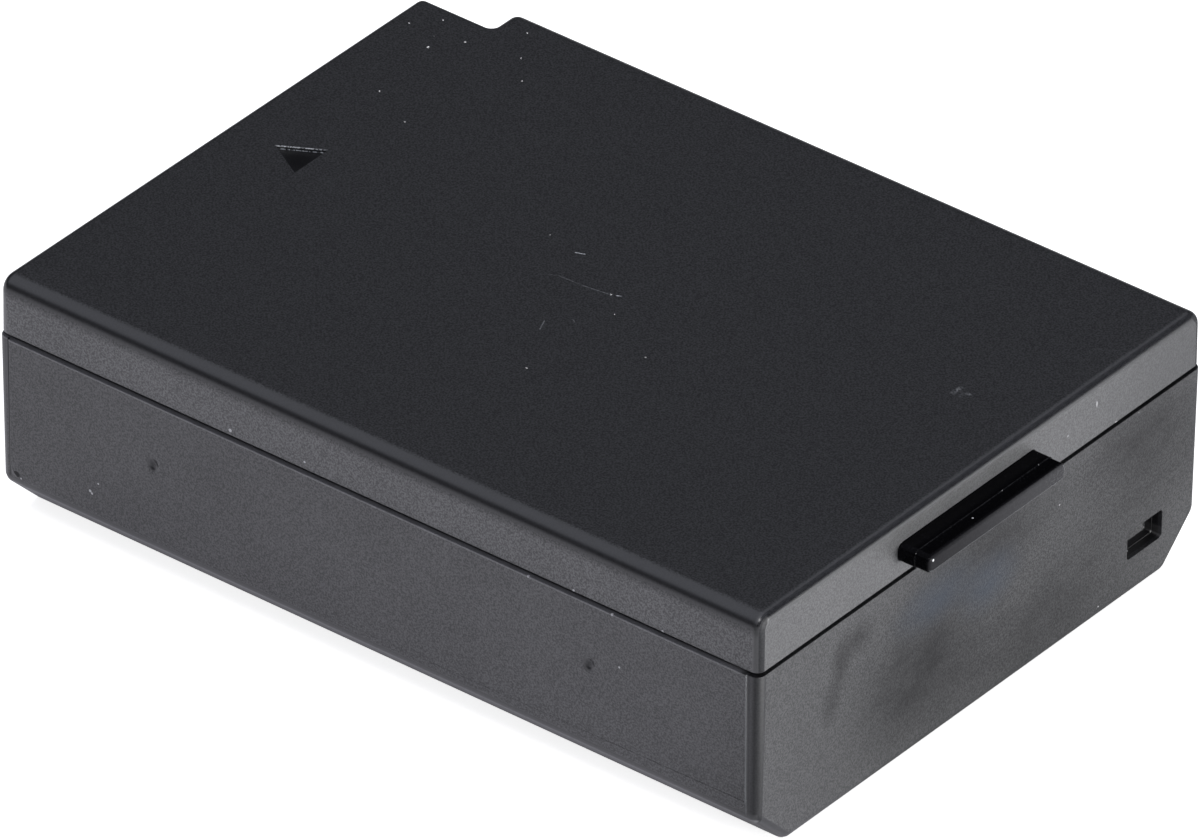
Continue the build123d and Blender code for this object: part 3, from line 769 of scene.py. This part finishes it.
def tab_plastic():
    """Smooth black plastic of the finger tab, with a mould line, a front face lightened with painted light,
    painted highlights on its rounded edges, and specks with a painted glint.
    """
    material, tree, shader = new_material("tab_plastic")
    place = millimetres(tree)
    x, y, _ = split(tree, place)
    to_end, to_side, up = facing(tree)
    broken = patches(tree, place, *BROKEN)
    mottle = noise(tree, tilted(tree, place), *MOTTLED)
    finish = {
        "colour": blend_colour(tree, ramp(tree, mottle, *TAB_TONES), TAB_BLACK, TAB_GREY),
        "rough": blend_number(tree, mottle, *TAB_ROUGH),
    }
    # Painted light: the front face turns grey, more towards the far end and a little unevenly
    front_along = blend_number(tree, ramp(tree, y, *TAB_WIDTH), *TAB_FRONT_ALONG)
    front = times(tree, ramp(tree, x, *TAB_FRONT), front_along, blend_number(tree, broken, *TAB_FRONT_SHOWN))
    lay_over(tree, finish, front, **ON_TAB_FRONT)
    mould_line = times(tree, between(tree, x, *TAB_MOULD_LINE), broken, TAB_LINE_SHOWN)
    # Painted highlight: a faint, uneven grey along the tab's rounded outer edges
    outward = any_of(tree, to_side, maths(tree, "MULTIPLY", up, -1.0))
    rounding = times(tree, between(tree, to_end, *TAB_EDGE_TO_END), ramp(tree, outward, *TAB_EDGE_OUTWARD))
    edge = times(tree, rounding, blend_number(tree, broken, *TAB_EDGE_SHOWN))
    lay_over(tree, finish, any_of(tree, mould_line, edge), colour=WORN_AND_HIGHLIGHT_GREY)
    # Specks, and a painted glint of a lamp on the near front corner
    add_specks_and_glints(tree, place, finish, TAB_SPECKS_AND_GLINTS)
    feed(tree, shader.inputs["Base Color"], finish["colour"])
    feed(tree, shader.inputs["Roughness"], finish["rough"])
    add_bump(tree, shader, mottle, *TAB_RELIEF)
    shader.inputs["IOR"].default_value = TAB_IOR
    return material


def speckled(name, dark, light, scale, roughness, relief, stretch=(1, 1, 1), metallic=0.0):
    """A finish with a fine two-tone pattern, which may be drawn out along one way."""
    material, tree, shader = new_material(name)
    place = moved(tree, millimetres(tree), size=stretch)
    pattern = noise(tree, place, scale, PATTERN_DETAIL)
    tone = ramp(tree, pattern, *PATTERN_TONES)
    rough = blend_number(tree, tone, roughness + PATTERN_ROUGH, roughness - PATTERN_ROUGH)
    feed(tree, shader.inputs["Base Color"], blend_colour(tree, tone, (*dark, 1), (*light, 1)))
    feed(tree, shader.inputs["Roughness"], rough)
    add_bump(tree, shader, pattern, PATTERN_RELIEF, relief)
    shader.inputs["Metallic"].default_value = metallic
    return material


def add_camera():
    """The photograph's camera."""
    data = bpy.data.cameras.new("camera")
    data.lens = CAMERA_LENS
    data.sensor_width = SENSOR_WIDTH
    data.sensor_fit = "HORIZONTAL"
    data.clip_end = CAMERA_REACH
    camera = bpy.data.objects.new("camera", data)
    bpy.context.scene.collection.objects.link(camera)
    turn = Euler((math.pi / 2 - CAMERA_ELEVATION, 0, CAMERA_AZIMUTH)).to_matrix()
    turn = turn @ Matrix.Rotation(CAMERA_ROLL, 3, "Z")
    camera.matrix_world = turn.to_4x4()
    camera.location = CAMERA_TARGET + turn.col[2] * CAMERA_DISTANCE
    bpy.context.scene.camera = camera


def add_lamp(name, azimuth, elevation, distance, size, power, mirrored):
    """A soft lamp that faces the battery; azimuth 0 is the front and 90 the tab end."""
    data = bpy.data.lights.new(name, "AREA")
    data.shape = "RECTANGLE"
    data.size = size[0]
    data.size_y = size[1]
    data.energy = power
    lamp = bpy.data.objects.new(name, data)
    bpy.context.scene.collection.objects.link(lamp)
    turn = Euler((math.pi / 2 - math.radians(elevation), 0, math.radians(azimuth))).to_matrix()
    lamp.matrix_world = turn.to_4x4()
    lamp.location = turn.col[2] * distance
    lamp.visible_glossy = mirrored


def add_floor():
    """Wide pale floor that keeps the shadow of the battery."""
    start_clean()
    bpy.ops.mesh.primitive_plane_add(size=FLOOR_SIZE, location=(0, 0, FLOOR_HEIGHT))
    floor = bpy.context.active_object
    floor.name = "floor"
    material, tree, shader = new_material("floor_paper")
    shader.inputs["Base Color"].default_value = FLOOR_PAPER
    shader.inputs["Roughness"].default_value = FLOOR_ROUGH
    shader.inputs["Specular IOR Level"].default_value = 0.0
    rays = tree.nodes.new("ShaderNodeLightPath")
    seen = rays.outputs["Is Camera Ray"]
    x, y, _ = split(tree, millimetres(tree))
    end_glow = blend_number(tree, ramp(tree, x, *GLOW_END_SPAN), 0.0, FLOOR_GLOW_END)
    glow = blend_number(tree, ramp(tree, y, *GLOW_FRONT_SPAN), FLOOR_GLOW_FRONT, end_glow)
    corner = times(tree, ramp(tree, x, *GLOW_CORNER_END), ramp(tree, y, *GLOW_CORNER_SIDE))
    glow = blend_number(tree, corner, glow, FLOOR_GLOW_CORNER)
    mirrored = times(tree, rays.outputs["Is Glossy Ray"], glow)
    feed(tree, shader.inputs["Emission Strength"], blend_number(tree, seen, mirrored, FLOOR_GLOW_SEEN))
    feed(tree, shader.inputs["Emission Color"], blend_colour(tree, seen, FLOOR_TINT, WHITE))
    set_material(floor, material)


def add_world():
    """A light tent: bright overhead and lower down in front, dim round the horizon."""
    world = bpy.data.worlds.new("tent")
    bpy.context.scene.world = world
    world.use_nodes = True
    tree = world.node_tree
    direction = tree.nodes.new("ShaderNodeTexCoord")
    _, y, z = split(tree, direction.outputs["Generated"])
    front = times(tree, ramp(tree, y, *TENT_FRONT_SPAN), TENT_FRONT)
    height = ramp(tree, maths(tree, "ADD", z, front), *TENT_SPAN)
    background = tree.nodes["Background"]
    feed(tree, background.inputs["Strength"], blend_number(tree, height, *TENT_STRENGTH))
    background.inputs["Color"].default_value = TENT_TINT


lid = moulding("case_lid", "lid_shell")
set_material(lid, case_plastic("lid_plastic", lid_marks))
lid.data.materials.append(tab_plastic())
for face in lid.data.polygons:
    face.material_index = int(face.center.x > TAB_START * MM)
finish_piece(lid, ["case_lid"])
base = moulding("case_base", "base_shell")
set_material(base, case_plastic("base_plastic", base_marks))
finish_piece(base, ["case_base"])
dust = dust_specks()
set_material(dust, speckled("dust", *DUST))
finish_piece(dust)

finishes = {slot: speckled(slot, *values) for slot, values in SLOTS.items()}
for part in frame["record"]["subparts"]:
    if part["material_slot"] in finishes:
        set_material(frame["nodes"][part["node"]], finishes[part["material_slot"]])

add_camera()
add_floor()
add_world()
for lamp in LAMPS:
    add_lamp(*lamp)
bpy.context.scene.view_settings.view_transform = "Standard"
